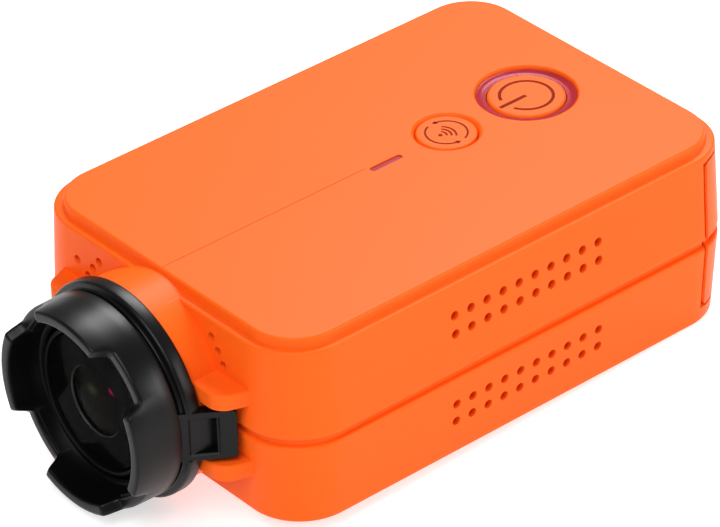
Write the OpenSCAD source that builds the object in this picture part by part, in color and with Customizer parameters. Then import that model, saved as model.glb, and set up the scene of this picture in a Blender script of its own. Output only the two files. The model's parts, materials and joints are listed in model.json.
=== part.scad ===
// Pocket action camera with a push-on lens hood, built as separate pieces.
// Millimetres. The origin is the centre of the flat base, the lens looks along -Y and +Z is up.

/* [Case] */
// Width of the case at the seam, side to side
body_width = 38; // [34:0.5:42]
// Length of the case without the hood, front wall to rear door
body_length = 56; // [50:0.5:62]
// Height of the raised top panel above the base
body_height = 19.5; // [17.5:0.25:21]
// Plan radius of the four corners at the seam
corner_radius = 6.2; // [5.8:0.1:6.8]
// How far each wall leans in from the seam to the top or bottom edge
wall_draft = 0.55; // [0.3:0.05:0.7]
// Wall thickness at the seam
wall = 2.0; // [1.8:0.1:2.1]
// Thickness of the top panel
roof = 1.6; // [1.4:0.1:1.8]
// Thickness of the floor
floor_thick = 1.4; // [1.2:0.1:1.5]
// Height of the raised panel above the ledge that runs round it
ledge_drop = 1.3; // [1:0.1:1.4]
// Width of the ledge round the raised panel
ledge_width = 0.85; // [0.6:0.05:1.1]
// Width of the groove that marks the seam
seam_groove = 0.8; // [0.6:0.1:1.2]
// Depth of the groove that marks the seam
seam_depth = 0.5; // [0.3:0.05:0.6]

/* [Vents] */
// Diameter of one vent hole
vent_diameter = 0.95; // [0.7:0.05:1.1]
// Spacing of the vent holes in a row and between two rows
vent_pitch = 1.95; // [1.8:0.05:2.1]
// Vent holes in one row
vent_count = 10; // [6:1:11]

/* [Lens and hood] */
// Radius of the round collar that carries the hood
collar_radius = 10.05; // [9.9:0.05:10.2]
// How far the collar stands in front of the case
collar_reach = 3.0; // [2.8:0.1:3.4]
// Radius of the hood flange
flange_radius = 10.5; // [10.3:0.05:10.7]
// Radius of the hood barrel
hood_radius = 9.8; // [9.6:0.05:9.9]
// Length of the hood in front of the collar
hood_reach = 7.0; // [6.8:0.1:8]
// Depth of the four notches in the hood rim
notch_depth = 1.6; // [1.2:0.1:1.8]
// Radial clearance of the hood skirt in the collar
hood_fit = 0.05; // [0.03:0.01:0.08]
// Radius of the front glass
glass_radius = 6.8; // [6.4:0.1:7.1]

/* [Ears and tabs] */
// Distance from the middle to the outer edge of an ear
ear_span = 13.4; // [12.5:0.1:14]
// How far an ear stands in front of the case
ear_reach = 2.4; // [2:0.1:2.8]
// Radius of the outer corner of an ear
ear_round = 2.2; // [1.5:0.1:2.3]
// Thickness of an ear
ear_thick = 1.7; // [1.4:0.1:2]
// Clear height between the upper and the lower ear
ear_gap = 6; // [5.4:0.1:7]
// Clearance of a hood tab between the ears, above and below
tab_clearance = 0.3; // [0.2:0.05:0.4]
// Length of a hood tab along its face
tab_length = 4; // [3.4:0.1:4.2]
// Thickness of a hood tab
tab_thick = 1.2; // [0.9:0.1:1.4]
// Turn of a hood tab away from the width of the case, in degrees
tab_turn = 56; // [52:1:60]

/* [Buttons] */
// Distance of the power button behind the middle of the case
power_y = 17.5; // [17:0.1:17.8]
// Radius of the power button cap
power_radius = 3.77; // [3.5:0.01:4]
// Width of the light ring round the power button
ring_width = 1.0; // [0.8:0.05:1.1]
// Distance of the mode button behind the middle of the case
mode_y = 7.4; // [7.2:0.1:7.8]
// Radius of the mode button cap
mode_radius = 2.7; // [2.5:0.05:2.8]
// Radial clearance of a button cap in its hole
button_fit = 0.08; // [0.05:0.01:0.1]
// How far a button goes down
button_travel = 0.4; // [0.3:0.05:0.45]

/* [Rear door] */
// How far the door wraps forward round the rear corners
door_wrap = 4.75; // [4.5:0.05:5]
// Gap all round the door
door_gap = 0.3; // [0.25:0.05:0.35]
// Radius of the hinge barrel on the lower edge of the door
hinge_radius = 1.3; // [1.2:0.05:1.35]
// Radius of the hinge pin
pin_radius = 0.6; // [0.5:0.05:0.65]
// Radial clearance of the hinge pin in the door
pin_fit = 0.05; // [0.03:0.01:0.08]

/* [Inside] */
// Thickness of a circuit board
board_thick = 1; // [0.8:0.1:1.2]
// Room between the frame and the main board, where the card socket is
under_room = 2.2; // [2.1:0.1:2.6]
// Room between the top panel and the main board, for the switches and chips
board_room = 4.9; // [4.6:0.1:5.2]
// Thickness of the frame between battery and board
frame_thick = 1; // [0.8:0.1:1.4]
// Radius of the posts that take the case screws
boss_radius = 1.8; // [1.5:0.1:1.9]
// Radius of a case screw
case_screw = 0.6; // [0.5:0.05:0.7]
// Radius of a board screw
board_screw = 0.5; // [0.4:0.05:0.6]
// Width of the memory card
card_width = 11; // [10.9:0.1:11.1]
// Length of the memory card
card_length = 15; // [14.8:0.1:15.2]
// Thickness of the memory card
card_thick = 0.7; // [0.6:0.05:0.8]
// How far the card goes in when it is pushed
card_travel = 0.8; // [0.6:0.1:1]
// Width of the charging socket
usb_width = 7.5; // [7.4:0.1:7.7]
// Height of the charging socket
usb_height = 2.6; // [2.4:0.1:2.8]
// Radius of the microphone
mic_radius = 1.2; // [1:0.05:1.3]

/* [Hidden] */
// Seam and lens axis
seam_z = 9;
corner_x = body_width / 2 - corner_radius;
corner_y = body_length / 2 - corner_radius;
front_y = -body_length / 2;
rear_y = body_length / 2;
ledge_z = body_height - ledge_drop;
roof_z = body_height - roof;
cavity_radius = corner_radius - wall;
inner_x = body_width / 2 - wall;
inner_front = front_y + wall;
// Lens group, measured from the front wall towards -Y
collar_front = front_y - collar_reach;
collar_bore = collar_radius - 1.25;
hole_circle = collar_radius + 1.13;
skirt_radius = collar_bore - hood_fit;
hood_back = collar_front - 0.15;
hood_front = collar_front - hood_reach;
flange_thick = 1.35;
tab_height = ear_gap - 2 * tab_clearance;
tab_root = max(flange_radius, collar_radius + tab_clearance + 0.15) - 0.3;
lens_cup_radius = glass_radius + 0.5;
cup_front = hood_front + 2.8;
thread_radius = 6;
mount_back = inner_front + 5.6;
barrel_bore = 5;
glass_fit = 0.02;
// Rear door and its hinge
door_front = rear_y - door_wrap;
door_bottom = floor_thick + 0.05 + door_gap;
door_top = roof_z + 0.05 - door_gap;
hinge_y = rear_y - 0.4 - hinge_radius;
hinge_z = door_bottom + hinge_radius;
lug_inner = 10;
lug_width = 1.7;
lug_outer = lug_inner + lug_width;
lug_gap = 0.3;
// Screws that hold the two shells together
boss_x = inner_x - boss_radius + 0.1;
boss_front = front_y + 7;
boss_rear = door_front - 3.75;
head_radius = case_screw * 2;
head_low = 0.4;
head_top = floor_thick - 0.1;
// Boards, frame and battery
board_top = roof_z - board_room;
board_low = board_top - board_thick;
board_half = inner_x - 1;
board_front = mount_back + 5.4;
board_rear = door_front - 2.25;
board_notch = boss_rear - boss_radius - 0.8;
board_screw_x = inner_x - 2.4;
board_screw_front = board_front + 2.2;
board_screw_rear = board_rear - 7.6;
standoff_radius = board_screw + 0.9;
frame_top = board_low - under_room;
frame_low = frame_top - frame_thick;
frame_front = mount_back + 3.9;
battery_half = boss_x - boss_radius - 0.3;
battery_front = frame_front + 1;
battery_rear = door_front + 1.05;
battery_low = floor_thick;
battery_high = frame_low - 0.4;
contact_top = battery_high - 1;
contact_half = 5;
contact_gap = 0.4;
connector_top = board_top + 1.8;
connector_front = board_front + 1;
connector_rear = connector_front + 3;
// Chips on the main board, left and right of the middle strip under the window and buttons
chip_front = board_front + 5.5;
chip_edge = battery_half - 2.2;
processor_width = 8;
processor_length = 6.9;
processor_out = -chip_edge;
processor_in = processor_out + processor_width;
processor_rear = chip_front + processor_length;
processor_top = board_top + 1.2;
pad_thick = 0.4;
pad_top = processor_top + pad_thick;
spreader_thick = 0.6;
inductor_size = 3;
inductor_height = 1.8;
inductor_spacing = 4.5;
inductor_left = chip_edge - 0.6;
memory_right = inductor_left - 1.4;
memory_width = 6;
memory_length = 8;
memory_height = 1;
shield_width = 7;
shield_length = 8.4;
shield_height = 1.7;
shield_rear = board_rear - 7.6;
antenna_width = 2;
antenna_length = 6.5;
antenna_height = 1.2;
// Memory card and its socket under the board
card_fit = 0.1;
socket_wall = 0.25;
card_out = 1.6;
socket_right = battery_half - 0.3;
card_right = socket_right - socket_wall - card_fit;
card_left = card_right - card_width;
socket_left = card_left - card_fit - socket_wall;
card_rear = board_rear + card_out;
card_low = board_low - 0.75 - card_thick;
// Charging socket on the board
usb_left = -battery_half + 0.2;
usb_right = usb_left + usb_width;
usb_front = board_rear - 4.8;
usb_rear = board_rear + 0.7;
usb_wall = 0.3;
// Push switches under the buttons
switch_height = 1.6;
stem_height = 2.5;
stem_radius = 0.92;
stem_z = board_top + stem_height;
switch_half = 1.5;
switch_top = board_top + switch_height;
plunger_length = 1.3;
// Microphone behind the single hole in the front wall
mic_z = roof_z - 2.4;
mic_front = inner_front + 0.8;
mic_rear = inner_front + 2.8;
boot_radius = mic_radius + 0.3;
mic_x = boot_radius - corner_x;
// Lens mount between floor and rib
mount_half = 8;
mount_top = roof_z - 1;
mount_tube = 7.2;
sensor_back = mount_back + board_thick;
mount_screw_x = 6.4;
mount_screw_high = mount_top - 2.3;
mount_screw_low = floor_thick + 2;
// Recessed faces on top
ring_outer = power_radius + button_fit + ring_width;
window_front = -2.3;
window_length = 3.8;
window_width = 0.75;

// Rounded box with leaning sides, from radius low at z0 to radius high at z1
module leaning_box(z0, z1, low, high) {
  hull() {
    for (sx = [-1, 1]) {
      for (sy = [-1, 1]) {
        translate([sx * corner_x, sy * corner_y, z0])
          cylinder(h = z1 - z0, r1 = low, r2 = high, $fn = 32);
      }
    }
  }
}

// Box given by its low corner and its high corner
module block(low, high) {
  translate(low)
    cube(high - low);
}

// Cylinder along Y on the lens axis, between two planes
module on_axis(y0, y1, radius) {
  translate([0, y1, seam_z])
    rotate([90, 0, 0])
      cylinder(h = y1 - y0, r = radius, $fn = 96);
}

// Cylinder along X between two planes
module across(x0, x1, y, z, radius) {
  translate([x0, y, z])
    rotate([0, 90, 0])
      cylinder(h = x1 - x0, r = radius, $fn = 48);
}

// Upright cylinder between two heights
module upright(x, y, z0, z1, radius) {
  translate([x, y, z0])
    cylinder(h = z1 - z0, r = radius, $fn = 64);
}

// One ear beside the collar, a flat plate with a round outer corner
module ear(side, z0, z1) {
  ear_front = front_y - ear_reach;
  inside = collar_bore + 0.1;
  root = front_y + 1;
  scale([side, 1, 1]) {
    block([inside, ear_front, z0], [ear_span - ear_round, root, z1]);
    block([inside, ear_front + ear_round, z0], [ear_span, root, z1]);
    upright(ear_span - ear_round, ear_front + ear_round, z0, z1, ear_round);
  }
}

// Two rows of vent holes through one side wall
module vent_rows(side, low_row) {
  first = 0.5 - vent_pitch * (vent_count - 1) / 2;
  for (row = [0, 1]) {
    for (column = [0 : vent_count - 1]) {
      translate([side * (inner_x - 1), first + column * vent_pitch, low_row + row * vent_pitch])
        rotate([0, side * 90, 0])
          cylinder(h = 4, d = vent_diameter, $fn = 12);
    }
  }
}

// One small hole through the front wall
module front_hole(x, z) {
  translate([x, inner_front + 1, z])
    rotate([90, 0, 0])
      cylinder(h = 4, d = 0.9, $fn = 12);
}

// Side view of the rear door grown by a gap, as a block right across the case
module door_outline(grow) {
  high_round = 2 + grow;
  front = door_front - grow;
  low = door_bottom - grow;
  high = door_top + grow;
  difference() {
    union() {
      block([-body_width, front + high_round, low], [body_width, rear_y + 5, high]);
      block([-body_width, front, hinge_z], [body_width, rear_y + 5, high - high_round]);
      across(-body_width, body_width, front + high_round, high - high_round, high_round);
      across(-body_width, body_width, front + high_round, hinge_z, high_round);
    }
    block([-body_width - 1, front - 1, low - 5], [body_width + 1, rear_y + 6, low]);
  }
}

// Space left free for the rear door
module door_space() {
  door_outline(door_gap);
}

// Upper half of the case with the raised panel, upper collar half and upper ears
module top_shell() {
  color("darkorange")
    difference() {
      union() {
        leaning_box(seam_z, seam_z + 1, corner_radius - seam_depth, corner_radius - seam_depth);
        leaning_box(seam_z + seam_groove / 2, ledge_z, corner_radius, corner_radius - wall_draft);
        leaning_box(ledge_z - 0.5, body_height,
          corner_radius - wall_draft - ledge_width, corner_radius - wall_draft - ledge_width - 0.1);
        intersection() {
          on_axis(collar_front, front_y + 1.5, collar_radius);
          block([-ear_span, collar_front - 1, seam_z], [ear_span, front_y + 2, body_height]);
        }
        for (side = [-1, 1]) {
          ear(side, seam_z + ear_gap / 2, seam_z + ear_gap / 2 + ear_thick);
        }
      }
      difference() {
        leaning_box(seam_z - 1, roof_z, cavity_radius, cavity_radius);
        for (sx = [-1, 1]) {
          upright(sx * boss_x, boss_front, seam_z, roof_z + 0.5, boss_radius);
          upright(sx * boss_x, boss_rear, seam_z, roof_z + 0.5, boss_radius);
        }
        block([-3, inner_front + 1, mount_top], [3, mount_back - 1.5, roof_z + 0.5]);
      }
      on_axis(collar_front - 1, inner_front + 0.4, collar_bore);
      for (sx = [-1, 1]) {
        upright(sx * boss_x, boss_front, seam_z - 1, seam_z + 4.5, case_screw + 0.02);
        upright(sx * boss_x, boss_rear, seam_z - 1, seam_z + 4.5, case_screw + 0.02);
        vent_rows(sx, seam_z + 4.4);
        for (angle = [29.5, 36.5, 43.7]) {
          front_hole(sx * hole_circle * cos(angle), seam_z + hole_circle * sin(angle));
        }
      }
      front_hole(mic_x, mic_z);
      door_space();
      upright(0, power_y, roof_z - 1, body_height + 1, ring_outer);
      upright(0, mode_y, roof_z - 1, body_height + 1, mode_radius + button_fit);
      translate([0, mode_y, body_height - 0.3])
        cylinder(h = 0.4, r1 = mode_radius + button_fit, r2 = mode_radius + button_fit + 0.5, $fn = 64);
      block([-window_width / 2, window_front, roof_z - 1],
        [window_width / 2, window_front + window_length, body_height + 1]);
      block([-0.08, front_y, body_height - 0.15], [0.08, window_front, body_height + 1]);
    }
}

// Lower half of the case with the flat base, lower collar half, lower ears and hinge lugs
module bottom_shell() {
  color("darkorange")
    difference() {
      union() {
        difference() {
          union() {
            leaning_box(seam_z - 1, seam_z, corner_radius - seam_depth, corner_radius - seam_depth);
            hull() {
              leaning_box(0.5, seam_z - seam_groove / 2, corner_radius - wall_draft, corner_radius);
              leaning_box(0, 0.5, corner_radius - wall_draft - 0.5, corner_radius - wall_draft);
            }
            intersection() {
              on_axis(collar_front, front_y + 1.5, collar_radius);
              block([-ear_span, collar_front - 1, -5], [ear_span, front_y + 2, seam_z]);
            }
            for (side = [-1, 1]) {
              ear(side, seam_z - ear_gap / 2 - ear_thick, seam_z - ear_gap / 2);
            }
          }
          difference() {
            leaning_box(floor_thick, seam_z + 1, cavity_radius, cavity_radius);
            for (sx = [-1, 1]) {
              upright(sx * boss_x, boss_front, floor_thick - 0.5, seam_z, boss_radius);
              upright(sx * boss_x, boss_rear, floor_thick - 0.5, seam_z, boss_radius);
            }
          }
          door_space();
        }
        for (sx = [-1, 1]) {
          scale([sx, 1, 1]) {
            across(lug_inner, lug_outer, hinge_y, hinge_z, hinge_radius - 0.1);
            block([lug_inner, hinge_y - hinge_radius + 0.1, 0.8],
              [lug_outer, hinge_y + hinge_radius - 0.1, hinge_z]);
          }
        }
      }
      on_axis(collar_front - 1, inner_front + 0.4, collar_bore);
      across(-lug_outer - 1, lug_outer + 1, hinge_y, hinge_z, pin_radius + 0.01);
      for (sx = [-1, 1]) {
        for (sy = [boss_front, boss_rear]) {
          upright(sx * boss_x, sy, -1, seam_z + 1, case_screw + 0.1);
          upright(sx * boss_x, sy, -1, head_top, head_radius + 0.15);
        }
        vent_rows(sx, seam_z - 5.25);
      }
    }
}

// Side view of the door with the round lower edge that turns on the hinge
module door_profile() {
  difference() {
    door_outline(0);
    difference() {
      block([-body_width - 1, hinge_y, door_bottom - 1], [body_width + 1, rear_y + 6, hinge_z]);
      across(-body_width - 2, body_width + 2, hinge_y, hinge_z, hinge_radius);
    }
  }
}

// Rear door that wraps both rear corners and swings down on its lower edge
module rear_door() {
  color("darkorange")
    difference() {
      union() {
        difference() {
          intersection() {
            union() {
              leaning_box(0, seam_z - seam_groove / 2, corner_radius - wall_draft, corner_radius);
              leaning_box(1, seam_z + 3, corner_radius - seam_depth, corner_radius - seam_depth);
              leaning_box(seam_z + seam_groove / 2, ledge_z, corner_radius, corner_radius - wall_draft);
            }
            door_profile();
          }
          leaning_box(-1, body_height + 1, corner_radius - 1.6, corner_radius - 1.6);
        }
        across(-lug_inner + lug_gap, lug_inner - lug_gap, hinge_y, hinge_z, hinge_radius);
      }
      across(-lug_inner, lug_inner, hinge_y, hinge_z, pin_radius + pin_fit);
      for (sx = [-1, 1]) {
        scale([sx, 1, 1])
          block([lug_inner - lug_gap, hinge_y - 2, door_bottom - 1],
            [lug_outer + lug_gap, rear_y + 1, hinge_z + hinge_radius + lug_gap]);
      }
      across(-5, 5, rear_y + 0.35, door_top - 1.6, 1.3);
    }
}

// Steel pin held in the two lugs of the lower shell
module hinge_pin() {
  color("silver")
    across(-lug_outer + 0.2, lug_outer - 0.2, hinge_y, hinge_z, pin_radius);
}

// Four screws from the base into the upper shell
module case_screws() {
  color("dimgray")
    for (sx = [-1, 1]) {
      for (sy = [boss_front, boss_rear]) {
        difference() {
          union() {
            upright(sx * boss_x, sy, head_low, head_top, head_radius);
            upright(sx * boss_x, sy, head_top - 0.1, seam_z + 4, case_screw);
          }
          for (turn = [0, 90]) {
            translate([sx * boss_x, sy, head_low])
              rotate([0, 0, turn])
                cube([head_radius * 1.5, 0.3, 0.8], center = true);
          }
        }
      }
    }
}

// One notch in the hood rim, a wedge with leaning sides that points along +X
module rim_notch() {
  half_floor = 1.8;
  lean = 1.5;
  rotate([0, 90, 0])
    linear_extrude(height = 14)
      polygon([
        [-half_floor - lean * 1.5, -notch_depth * 1.5],
        [-half_floor, 0],
        [half_floor, 0],
        [half_floor + lean * 1.5, -notch_depth * 1.5]]);
}

// One side tab of the hood on a foot beside the flange, with a square window in its outer face
module hood_tab() {
  window_edge = tab_height / 5;
  window_depth = tab_thick * 0.3;
  difference() {
    union() {
      block([hood_radius - 1, hood_back - flange_thick + 0.1, seam_z - tab_height / 2 + 0.1],
        [tab_root + 0.4, hood_back - 0.1, seam_z + tab_height / 2 - 0.1]);
      translate([tab_root, hood_back - flange_thick + 0.2, seam_z - tab_height / 2])
        rotate([0, 0, tab_turn])
          difference() {
            cube([tab_length, tab_thick, tab_height]);
            translate([window_edge * 0.7, window_depth - tab_thick, window_edge])
              cube([tab_length - window_edge * 1.4, tab_thick, tab_height - 2 * window_edge]);
          }
    }
    on_axis(hood_back, front_y + 1, collar_radius + tab_clearance);
  }
}

// Push-on hood with a skirt, flange, barrel, notched rim and two side tabs
module lens_hood() {
  color("dimgray")
    difference() {
      union() {
        on_axis(hood_back - flange_thick, hood_back, flange_radius);
        on_axis(hood_back - flange_thick - 0.5, hood_back - 1, hood_radius - 0.35);
        on_axis(hood_front, hood_back - flange_thick - 0.4, hood_radius);
        on_axis(hood_back - 1, collar_front + 3.4, skirt_radius);
        hood_tab();
        translate([0, 0, 2 * seam_z])
          rotate([0, 180, 0])
            hood_tab();
      }
      on_axis(hood_front - 1, collar_front + 4, lens_cup_radius + 0.5);
      on_axis(cup_front + 2.2, collar_front + 4, skirt_radius - 0.8);
      translate([0, cup_front + 0.5, seam_z])
        rotate([90, 0, 0])
          cylinder(h = cup_front + 0.5 - hood_front + 0.01, r1 = lens_cup_radius + 1.0,
            r2 = hood_radius - 0.9, $fn = 96);
      for (turn = [45 : 90 : 315]) {
        translate([0, hood_front + notch_depth, seam_z])
          rotate([0, turn, 0])
            rim_notch();
      }
    }
}

// Lens barrel with a wide cup in front and a thread behind
module lens_barrel() {
  color("black")
    difference() {
      union() {
        on_axis(cup_front + 0.9, collar_front + 0.2, lens_cup_radius);
        on_axis(collar_front, mount_back - 1.4, thread_radius);
      }
      on_axis(cup_front, cup_front + 2.6, glass_radius - 0.6);
      on_axis(cup_front + 2, mount_back - 1, barrel_bore);
    }
}

// Ring that holds the front glass in the cup
module lens_bezel() {
  color("black")
    difference() {
      on_axis(cup_front, cup_front + 0.9, lens_cup_radius);
      on_axis(cup_front - 1, cup_front + 1, glass_radius + 0.05);
    }
}

// Flat front glass with a chamfered edge, which lies on the front of the barrel
module front_element() {
  color("slategray")
    union() {
      on_axis(cup_front + 0.15, cup_front + 0.9, glass_radius);
      translate([0, cup_front + 0.2, seam_z])
        rotate([90, 0, 0])
          cylinder(h = 0.2, r1 = glass_radius, r2 = glass_radius - 0.2, $fn = 96);
    }
}

// Domed glass in the barrel, seen through the front glass
module middle_element() {
  dome = 8;
  dome_edge = barrel_bore - 0.6;
  dome_centre = cup_front + 2.6 + sqrt(dome * dome - dome_edge * dome_edge);
  color("lightblue")
    union() {
      on_axis(cup_front + 2.6, cup_front + 7, barrel_bore - glass_fit);
      intersection() {
        translate([0, dome_centre, seam_z])
          sphere(r = dome, $fn = 96);
        on_axis(cup_front + 1, cup_front + 2.8, dome_edge);
      }
    }
}

// Rear glass in the barrel
module rear_element() {
  color("lightblue")
    on_axis(mount_back - 4, mount_back - 2, barrel_bore - glass_fit);
}

// Tube that keeps the middle and rear glass apart
module lens_spacer() {
  color("black")
    difference() {
      on_axis(cup_front + 7, mount_back - 4, barrel_bore - glass_fit);
      on_axis(cup_front + 6, mount_back - 3, barrel_bore - 1);
    }
}

// Ring that locks the barrel against the mount
module lock_ring() {
  color("silver")
    difference() {
      on_axis(collar_front + 0.4, collar_front + 1.5, mount_tube);
      on_axis(collar_front, collar_front + 2, thread_radius + glass_fit);
    }
}

// Cylinder along Y at the places of the two mount screws
module mount_screw_places(y0, y1, radius) {
  for (place = [[-mount_screw_x, mount_screw_low], [mount_screw_x, mount_screw_high]]) {
    translate([place.x, y1, place.y])
      rotate([90, 0, 0])
        cylinder(h = y1 - y0, r = radius, $fn = 32);
  }
}

// Block that carries the lens in front of the image sensor
module lens_mount() {
  color("dimgray")
    difference() {
      union() {
        block([-mount_half, inner_front + 0.3, floor_thick], [mount_half, mount_back, mount_top]);
        on_axis(collar_front + 1.5, inner_front + 0.35, mount_tube);
      }
      on_axis(collar_front, mount_back - 1.2, thread_radius + glass_fit);
      block([-4.5, mount_back - 1.6, seam_z - 4], [4.5, mount_back + 1, seam_z + 4]);
      mount_screw_places(mount_back - 3.2, mount_back + 1, board_screw + glass_fit);
    }
}

// Two screws that hold the sensor board to the mount
module mount_screws() {
  color("silver") {
    mount_screw_places(mount_back - 3, sensor_back + 0.2, board_screw);
    mount_screw_places(sensor_back, sensor_back + 0.7, board_screw + 0.6);
  }
}

// Thin filter glass in the back of the mount
module ir_filter() {
  color("lightcyan")
    block([-4.5, mount_back - 1.2, seam_z - 4], [4.5, mount_back - 0.9, seam_z + 4]);
}

// Image sensor package on its board
module image_sensor() {
  color("darkslategray")
    block([-4, mount_back - 0.8, seam_z - 3.5], [4, mount_back, seam_z + 3.5]);
}

// Upright board behind the lens mount
module sensor_board() {
  color("green")
    difference() {
      block([-mount_half, mount_back, floor_thick + 0.4], [mount_half, sensor_back, mount_top - 0.4]);
      mount_screw_places(mount_back - 1, sensor_back + 1, board_screw + 0.1);
    }
}

// Flat cable from the sensor board to the main board
module sensor_flex() {
  flex_half = 3.5;
  flex_thick = 0.2;
  flex_top = connector_top + flex_thick;
  color("orange") {
    block([-flex_half, sensor_back, board_top - 0.5], [flex_half, sensor_back + flex_thick, flex_top]);
    block([-flex_half, sensor_back, connector_top], [flex_half, connector_rear, flex_top]);
  }
}

// Connector under the end of the flat cable
module flex_connector() {
  color("ivory")
    block([-4.5, connector_front, board_top], [4.5, connector_rear, connector_top]);
}

// Upright cylinders at the places of the four board screws
module board_screw_places(z0, z1, radius) {
  for (side = [-1, 1]) {
    for (y = [board_screw_front, board_screw_rear]) {
      upright(side * board_screw_x, y, z0, z1, radius);
    }
  }
}

// Main circuit board with cut corners for the screw bosses
module main_board() {
  color("green")
    difference() {
      union() {
        block([-board_half, board_front, board_low], [board_half, board_notch, board_top]);
        block([-battery_half, board_front, board_low], [battery_half, board_rear, board_top]);
      }
      board_screw_places(board_low - 1, board_top + 1, board_screw + 0.1);
    }
}

// Main processor
module processor() {
  color("black")
    block([processor_out, chip_front, board_top], [processor_in, processor_rear, processor_top]);
}

// Memory chip beside the processor
module memory_chip() {
  color("black")
    block([memory_right - memory_width, chip_front, board_top],
      [memory_right, chip_front + memory_length, board_top + memory_height]);
}

// Metal can over the radio
module radio_shield() {
  color("silver")
    block([-chip_edge, shield_rear - shield_length, board_top],
      [shield_width - chip_edge, shield_rear, board_top + shield_height]);
}

// Chip antenna at the edge of the board
module antenna() {
  left = -board_half + 0.4;
  front = chip_front + 2.5;
  color("white")
    block([left, front, board_top],
      [left + antenna_width, front + antenna_length, board_top + antenna_height]);
}

// Soft pad between processor and heat spreader
module thermal_pad() {
  pad_edge = 0.4;
  color("gray")
    block([processor_out + pad_edge, chip_front + pad_edge, processor_top],
      [processor_in - pad_edge, processor_rear - pad_edge, pad_top]);
}

// Aluminium plate on the pad
module heat_spreader() {
  color("silver")
    block([processor_out - 0.4, chip_front - 0.4, pad_top],
      [processor_in + 0.4, processor_rear + 0.4, pad_top + spreader_thick]);
}

// Three inductors of the power supply
module power_inductors() {
  color("dimgray")
    for (place = [0, 1, 2]) {
      front = chip_front + place * inductor_spacing;
      block([inductor_left, front, board_top],
        [inductor_left + inductor_size, front + inductor_size, board_top + inductor_height]);
    }
}

// Charging and data socket behind the door
module usb_socket() {
  tongue = 1.9;
  color("silver")
    union() {
      difference() {
        block([usb_left, usb_front, board_top], [usb_right, usb_rear, board_top + usb_height]);
        block([usb_left + usb_wall, usb_front + 0.8, board_top + usb_wall],
          [usb_right - usb_wall, usb_rear + 1, board_top + usb_height - usb_wall]);
      }
      block([usb_left + tongue, usb_front + 0.3, board_top + 1.4],
        [usb_right - tongue, usb_rear - 0.4, board_top + 2]);
    }
}

// Socket for the memory card, on the lower side of the board
module card_socket() {
  slot_front = card_rear - card_length - card_travel - 0.1;
  color("silver")
    difference() {
      block([socket_left, slot_front - 0.3, card_low - 0.35], [socket_right, board_rear, board_low]);
      block([card_left - card_fit, slot_front, card_low - card_fit],
        [card_right + card_fit, board_rear + 1, card_low + card_thick + card_fit]);
    }
}

// Memory card, pushed in to let it go
module memory_card() {
  color("black")
    block([card_left, card_rear - card_length, card_low], [card_right, card_rear, card_low + card_thick]);
}

// Two small push switches under the buttons
module switch_bodies() {
  bore_low = stem_z - plunger_length - button_travel - 0.2;
  color("silver")
    for (y = [power_y, mode_y]) {
      difference() {
        block([-switch_half, y - switch_half, board_top], [switch_half, y + switch_half, switch_top]);
        upright(0, y, bore_low, switch_top + 1, stem_radius + button_fit);
      }
    }
}

// Moving stem of the power switch
module power_plunger() {
  color("black")
    upright(0, power_y, stem_z - plunger_length, stem_z, stem_radius);
}

// Moving stem of the mode switch
module mode_plunger() {
  color("black")
    upright(0, mode_y, stem_z - plunger_length, stem_z, stem_radius);
}

// Small lamps under the window and the light ring
module indicator_leds() {
  ring_middle = (ring_outer - ring_width / 2) * 0.707;
  color("white") {
    block([-0.4, -1.2, board_top], [0.4, 0.4, board_top + 0.7]);
    for (sy = [-1, 1]) {
      block([-ring_middle - 0.4, power_y + sy * ring_middle - 0.8, board_top],
        [-ring_middle + 0.4, power_y + sy * ring_middle + 0.8, board_top + 0.7]);
    }
  }
}

// Cylinder along Y on the axis of the microphone
module on_mic(y0, y1, radius) {
  translate([mic_x, y1, mic_z])
    rotate([90, 0, 0])
      cylinder(h = y1 - y0, r = radius, $fn = 48);
}

// Microphone behind the single hole in the front wall
module microphone() {
  color("silver")
    on_mic(mic_front, mic_rear, mic_radius);
}

// Rubber boot round the microphone
module microphone_boot() {
  color("black")
    difference() {
      on_mic(inner_front, mic_rear - 0.4, boot_radius);
      on_mic(mic_front, mic_rear, mic_radius + 0.01);
      on_mic(inner_front - 1, mic_rear, mic_radius / 2);
    }
}

// Two wires from the microphone to the main board
module microphone_leads() {
  half = 0.25;
  lead_rear = board_front + 1;
  color("red")
    for (offset_x = [-mic_radius / 2, mic_radius / 2]) {
      x = mic_x + offset_x;
      block([x - half, mic_rear, mic_z - half], [x + half, lead_rear, mic_z + half]);
      block([x - half, lead_rear - 2 * half, board_top], [x + half, lead_rear, mic_z + half]);
    }
}

// Four screws that hold the main board to the frame
module board_screws() {
  color("silver") {
    board_screw_places(board_top, board_top + 0.7, board_screw + 0.55);
    board_screw_places(frame_low + 0.4, board_top + 0.2, board_screw);
  }
}

// Frame between battery and board, with four standoffs
module mid_frame() {
  color("gray")
    difference() {
      union() {
        block([-inner_x, frame_front, frame_low], [inner_x, board_notch + 0.3, frame_top]);
        block([-battery_half, frame_front, frame_low], [battery_half, board_rear + 1, frame_top]);
        board_screw_places(frame_low, board_low, standoff_radius);
      }
      board_screw_places(frame_low - 1, board_top, board_screw + 0.02);
    }
}

// Battery pack that slides in from the rear
module battery() {
  color("darkgray")
    block([-battery_half, battery_front, battery_low], [battery_half, battery_rear, battery_high]);
}

// Ribbon on the end of the battery for pulling it out
module battery_pull() {
  half = 3;
  ribbon = 0.15;
  fold_z = battery_high - 1;
  color("yellow") {
    block([-half, battery_rear, battery_low + 1.8], [half, battery_rear + ribbon, fold_z]);
    block([-half, battery_rear, fold_z - ribbon], [half, battery_rear + 0.8, fold_z]);
  }
}

// Plastic block that carries the battery contacts
module contact_block() {
  color("black")
    block([-contact_half, battery_front - 2, floor_thick],
      [contact_half, battery_front - contact_gap, contact_top]);
}

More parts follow.
